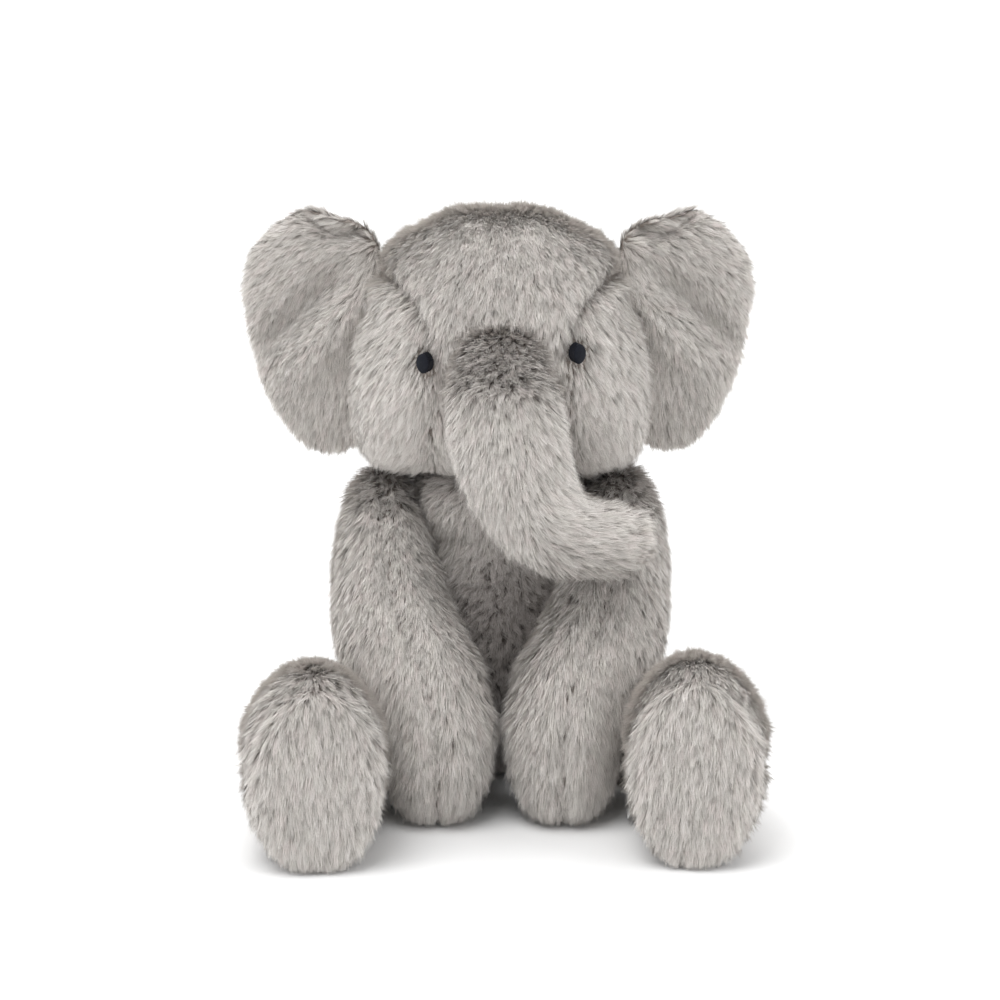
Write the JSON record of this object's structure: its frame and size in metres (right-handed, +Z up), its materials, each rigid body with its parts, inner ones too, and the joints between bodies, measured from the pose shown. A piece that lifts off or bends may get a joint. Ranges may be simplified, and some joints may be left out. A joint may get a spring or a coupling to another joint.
{
  "type": "stuffed elephant",
  "caption": "Seated plush elephant with long soft grey fur, big cupped ears, a trunk that curls to its left, embroidered eyes, arms hanging between splayed legs and rounded feet",
  "frame": {"origin": "middle of the seat's flat resting face", "axes": "+Z up, -Y the way the toy faces, +X the toy's own left"},
  "size_m": [0.2556, 0.2617, 0.2834],
  "materials": {
    "plush": "long soft faux fur, matte",
    "stuffing": "loose polyester fibre",
    "pellets": "cotton bag of plastic pellets",
    "thread": "matte sewing thread",
    "eye_thread": "satin-stitched embroidery",
    "label_tape": "smooth woven tape"
  },
  "bodies": {
    "torso": {"belly_panel": "plush", "back_panel_left": "plush", "back_panel_right": "plush", "seat_panel": "plush", "body_stuffing": "stuffing", "pellet_bag": "pellets", "closing_stitches": "thread"},
    "neck": {"neck_thread": "thread"},
    "head": {"head_gusset": "plush", "chin_panel": "plush", "cheek_panel_left": "plush", "cheek_panel_right": "plush", "head_stuffing": "stuffing", "eye_left": "eye_thread", "eye_right": "eye_thread"},
    "ear_left": {"ear_left_front": "plush", "ear_left_back": "plush"},
    "ear_right": {"ear_right_front": "plush", "ear_right_back": "plush"},
    "trunk": {"trunk_top_panel": "plush", "trunk_under_panel": "plush", "trunk_stuffing": "stuffing", "trunk_end_cap": "plush"},
    "arm_left": {"arm_left_outer": "plush", "arm_left_inner": "plush", "arm_left_stuffing": "stuffing"},
    "arm_right": {"arm_right_outer": "plush", "arm_right_inner": "plush", "arm_right_stuffing": "stuffing"},
    "leg_left": {"leg_left_upper": "plush", "leg_left_under": "plush", "leg_left_sole": "plush", "leg_left_stuffing": "stuffing", "care_label": "label_tape"},
    "leg_right": {"leg_right_upper": "plush", "leg_right_under": "plush", "leg_right_sole": "plush", "leg_right_stuffing": "stuffing"},
    "tail": {"tail_tube": "plush", "tail_tuft": "plush"}
  },
  "joints": [
    {"name": "head_turn", "type": "hinge", "parent": "torso", "child": "neck", "pos_m": [0, -0.006, 0.148], "axis": [0, 0, 1], "range_deg": [-25, 10]},
    {"name": "head_nod", "type": "hinge", "parent": "neck", "child": "head", "pos_m": [0, -0.006, 0.152], "axis": [1, 0, 0], "range_deg": [-7, 6]},
    {"name": "trunk_lift", "type": "hinge", "parent": "head", "child": "trunk", "pos_m": [0, -0.072, 0.206], "axis": [-1, 0, 0], "range_deg": [0, 32]},
    {"name": "ear_left_flap", "type": "hinge", "parent": "head", "child": "ear_left", "pos_m": [0.0575, 0, 0.252], "axis": [0.2, 0, -0.9798], "range_deg": [-7, 20]},
    {"name": "ear_right_flap", "type": "hinge", "parent": "head", "child": "ear_right", "pos_m": [-0.0575, 0, 0.252], "axis": [0.2, 0, 0.9798], "range_deg": [-7, 20]},
    {"name": "arm_left_swing", "type": "hinge", "parent": "torso", "child": "arm_left", "pos_m": [0.058, -0.012, 0.138], "axis": [-1, 0, 0], "range_deg": [0, 8]},
    {"name": "arm_right_swing", "type": "hinge", "parent": "torso", "child": "arm_right", "pos_m": [-0.057, -0.012, 0.139], "axis": [-1, 0, 0], "range_deg": [0, 25]},
    {"name": "leg_left_spread", "type": "hinge", "parent": "torso", "child": "leg_left", "pos_m": [0.052, -0.05, 0.034], "axis": [0, 0, 1], "range_deg": [0, 12]},
    {"name": "leg_right_spread", "type": "hinge", "parent": "torso", "child": "leg_right", "pos_m": [-0.05, -0.05, 0.034], "axis": [0, 0, -1], "range_deg": [0, 12]},
    {"name": "tail_wag", "type": "hinge", "parent": "torso", "child": "tail", "pos_m": [0, 0.058, 0.04], "axis": [0, -0.3011, 0.9536], "range_deg": [-15, 15]}
  ]
}
